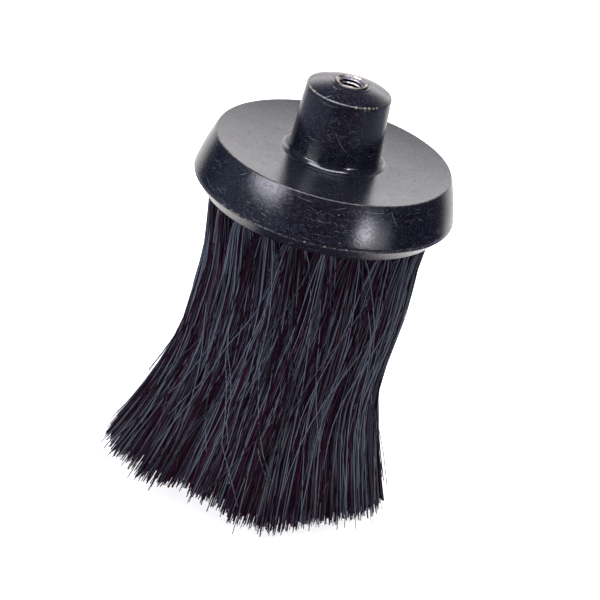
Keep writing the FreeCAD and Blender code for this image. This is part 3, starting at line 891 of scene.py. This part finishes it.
def direction(azimuth, elevation):
    """Unit vector; azimuth 0 is towards the camera (-Y) and 90 is +X, in degrees."""
    a, e = math.radians(azimuth), math.radians(elevation)
    return Vector((math.sin(a) * math.cos(e), -math.cos(a) * math.cos(e), math.sin(e)))


BLOCK_CENTRE = Vector((0, 0, -0.04))
COOL_WHITE = (0.97, 0.96, 1.07)


def soft_box(name, azimuth, elevation, distance, width, height, radiance, mirrored=True, filling=True):
    """Rectangular soft light that faces the block, to be mirrored in it, to fill the shade or for both."""
    lamp = bpy.data.lights.new(name, "AREA")
    lamp.shape = "RECTANGLE"
    lamp.size, lamp.size_y = width, height
    lamp.energy = radiance * math.pi * width * height
    lamp.color = (1, 1, 1) if filling else COOL_WHITE
    holder = bpy.data.objects.new(name, lamp)
    way = direction(azimuth, elevation)
    holder.location = BLOCK_CENTRE + way * distance
    holder.rotation_mode = "QUATERNION"
    holder.rotation_quaternion = way.to_track_quat("Z", "Y")
    holder.visible_camera = False
    holder.visible_glossy = mirrored
    holder.visible_diffuse = filling
    bpy.context.scene.collection.objects.link(holder)


def surroundings():
    """What the block mirrors: pale behind it, and dark on the camera's side, less so below."""
    world = bpy.data.worlds.new("studio")
    world.use_nodes = True
    tree = world.node_tree
    tree.nodes.clear()
    way = tree.nodes.new("ShaderNodeTexCoord").outputs["Generated"]
    parts = split(tree, way)
    rise = parts[2]
    level = maths(tree, "MAXIMUM", from_axis(tree, way), 0.01)
    away, across = maths(tree, "DIVIDE", parts[1], level), maths(tree, "DIVIDE", parts[0], level)

    # the pale back, in bands from high to low
    back = maths(tree, "MULTIPLY", ramp(tree, away, 0.68, 0.78), ramp(tree, rise, 0.72, 0.42))
    pale = blend(tree, ramp(tree, rise, 0.44, 0.30), (1.10, 1.04, 1.08), (1.42, 1.33, 1.39))
    pale = blend(tree, ramp(tree, rise, 0.26, 0.12), pale, (1.15, 1.11, 1.13))
    pale = blend(tree, ramp(tree, rise, 0.12, -0.12), pale, (1.50, 1.44, 1.45))

    # the dark left, right and front, each with its brighter part below
    low = ramp(tree, rise, -0.24, -0.36)
    left = blend(tree, ramp(tree, away, 0.38, 0.10), (0.08, 0.09, 0.17), (0.40, 0.49, 0.70))
    left = blend(tree, low, left, (0.82, 0.86, 1.12))
    right = blend(tree, low, (0.07, 0.07, 0.13), (0.85, 0.90, 1.20))
    front = blend(tree, low, (0.18, 0.14, 0.25), (0.32, 0.20, 0.34))
    dark = blend(tree, ramp(tree, across, -0.35, -0.80), front, left)
    dark = blend(tree, ramp(tree, across, 0.45, 0.95), dark, right)
    colour = blend(tree, back, dark, pale)
    shade = node(tree, "ShaderNodeBackground", {"Color": colour, "Strength": 1.0})
    out = tree.nodes.new("ShaderNodeOutputWorld")
    tree.links.new(shade.outputs[0], out.inputs[0])
    bpy.context.scene.world = world


LENS, SENSOR = 198.7, 36.0             # millimetres
CAMERA_AZIMUTH, CAMERA_ELEVATION, CAMERA_ROLL = -0.06, 25.34, 14.11
CAMERA_DISTANCE = 1.0153               # metres
TARGET_RIGHT, TARGET_DOWN = 0.0009, 0.0739


def camera():
    """Long lens, 25 degrees above the horizon, with the brush leaning to the right in the frame."""
    data = bpy.data.cameras.new("camera")
    data.lens = LENS
    data.sensor_width = SENSOR
    data.clip_start, data.clip_end = 0.05, 30.0
    holder = bpy.data.objects.new("camera", data)
    bpy.context.scene.collection.objects.link(holder)
    target = Vector((TARGET_RIGHT, 0.0, CAD_BOX[1].z - TARGET_DOWN))
    away = direction(CAMERA_AZIMUTH, CAMERA_ELEVATION)
    right = Vector((0, 0, 1)).cross(away).normalized()
    up = away.cross(right)
    roll = math.radians(CAMERA_ROLL)
    right, up = right * math.cos(roll) + up * math.sin(roll), up * math.cos(roll) - right * math.sin(roll)
    turn = Matrix((right, up, away)).transposed()
    holder.matrix_world = Matrix.Translation(target + away * CAMERA_DISTANCE) @ turn.to_4x4()
    bpy.context.scene.camera = holder


floor()
backdrop()
surroundings()
# azimuth and elevation in degrees, distance, width and height in metres, radiance
soft_box("light_left", -51, 16.5, 2.0, 1.00, 0.34, 25.0, filling=False)
soft_box("light_high", -10, 68, 2.2, 2.60, 0.70, 20.0, filling=False)
soft_box("light_bridge", -44, 42, 2.1, 0.70, 0.95, 14.0, filling=False)
soft_box("light_right", 43, 5, 2.0, 0.17, 0.22, 105.0, filling=False)
soft_box("light_right_wing", 55, 0, 2.0, 0.50, 0.40, 6.0, filling=False)
soft_box("light_back", 192, 20, 2.2, 3.2, 0.6, 1.9)
soft_box("light_top", 0, 89, 2.4, 3.0, 3.0, 3.1, mirrored=False)
soft_box("light_fill", -6, 6, 2.5, 3.0, 2.0, 1.9, mirrored=False)
camera()
bpy.context.scene.view_settings.view_transform = "Standard"
